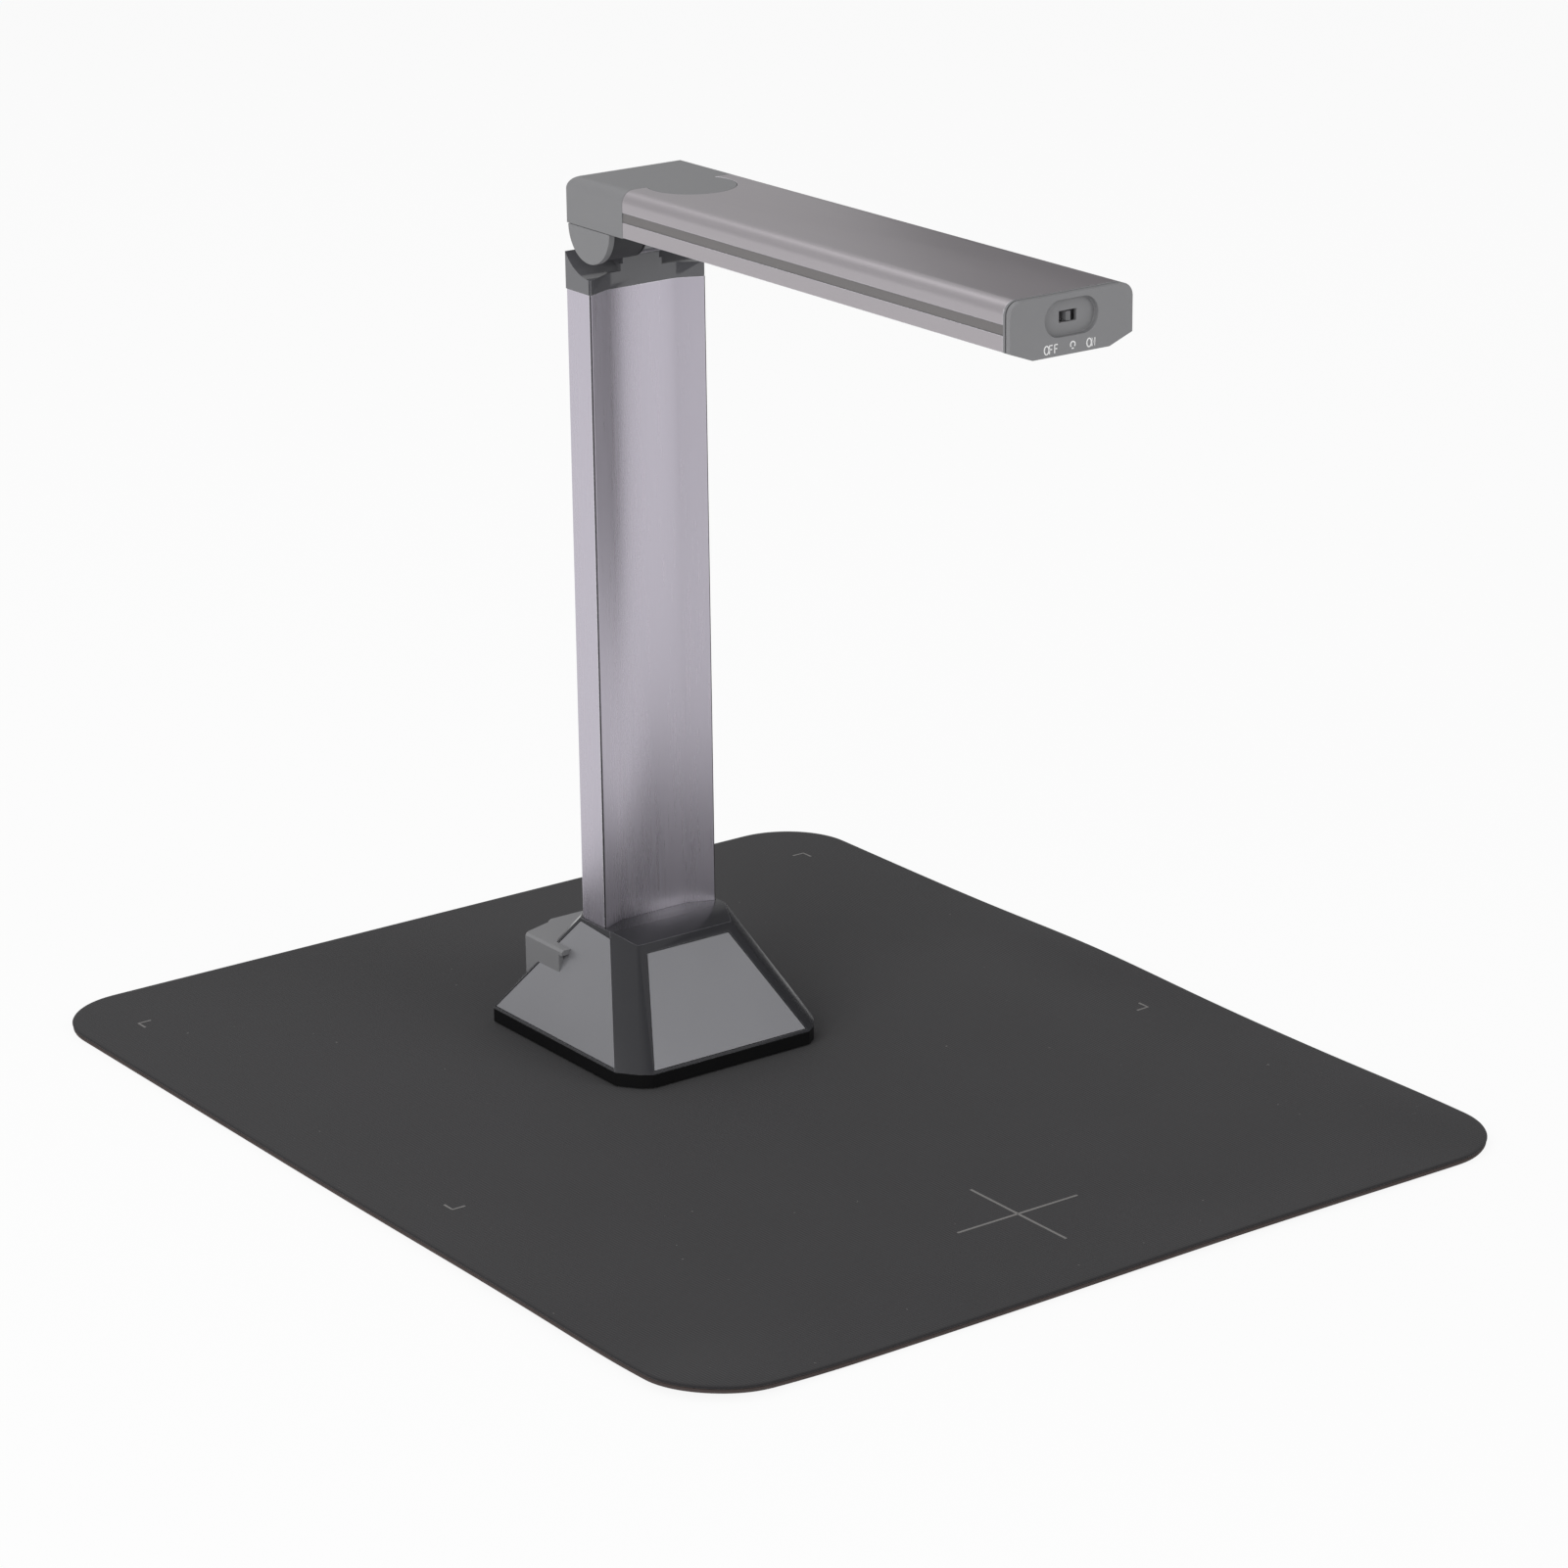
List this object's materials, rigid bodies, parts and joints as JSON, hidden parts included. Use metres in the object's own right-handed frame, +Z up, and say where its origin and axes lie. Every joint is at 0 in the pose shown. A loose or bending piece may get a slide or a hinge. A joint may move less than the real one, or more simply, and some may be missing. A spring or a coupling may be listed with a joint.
{
  "type": "book scanner",
  "caption": "Document camera on a soft mat: faceted base, flat column and a folding arm with lens, lamps and an end switch.",
  "frame": {"origin": "centre of the mat's underside, on the surface it lies on", "axes": "+Z up, -Y the way the arm reaches out, +X to the right seen from the arm's end"},
  "size_m": [0.34, 0.411, 0.3142],
  "materials": {
    "mat_cloth": "matt woven cloth",
    "mat_rubber": "matt",
    "gloss_shell": "gloss",
    "black_plastic": "satin",
    "satin_panel": "satin",
    "housing_grey": "fine matt",
    "anodised": "satin anodised",
    "gloss_cap": "gloss",
    "steel": "brushed",
    "black_rubber": "matt",
    "board_green": "solder mask",
    "cast_metal": "painted dark",
    "glass": "clear",
    "diffuser": "opal",
    "ribbon": "satin",
    "knob_black": "satin"
  },
  "bodies": {
    "mat": {"mat_cloth": "mat_cloth", "mat_rubber": "mat_rubber"},
    "stand": {"base_shell": "gloss_shell", "base_rim": "black_plastic", "base_front_panel": "satin_panel", "base_right_panel": "satin_panel", "base_left_panel": "satin_panel", "base_feet": "black_rubber", "base_screws": "steel", "ballast_plate": "steel", "foot_block": "black_plastic", "port_housing": "housing_grey", "usb_inlet": "steel", "main_board": "board_green", "column_front": "anodised", "column_channel": "anodised", "column_cap": "gloss_cap", "column_ribbon": "ribbon"},
    "arm": {"hinge_shaft": "steel", "friction_washers": "steel", "hinge_nut": "steel", "hinge_bracket": "cast_metal", "left_ear_cover": "housing_grey", "right_ear_cover": "housing_grey", "head_housing": "housing_grey", "head_floor": "housing_grey", "arm_extrusion": "anodised", "arm_cover": "housing_grey", "lens_window": "glass", "lens_holder": "black_plastic", "lens_barrel": "black_plastic", "camera_board": "board_green", "lamp_diffusers": "diffuser", "lamp_board": "board_green", "end_collar": "housing_grey", "end_cap": "housing_grey", "switch_body": "steel", "arm_ribbon": "ribbon"},
    "switch": {"switch_knob": "knob_black"}
  },
  "joints": [
    {"name": "stand_lift", "type": "slide", "parent": "mat", "child": "stand", "axis": [0, 0, 1], "range_m": [0, 0.06]},
    {"name": "arm_fold", "type": "hinge", "parent": "stand", "child": "arm", "pos_m": [-0.0035, 0.0517, 0.2981], "axis": [1, 0, 0], "range_deg": [0, 90]},
    {"name": "switch_slide", "type": "slide", "parent": "arm", "child": "switch", "axis": [1, 0, 0], "range_m": [-0.002, 0.002]}
  ]
}
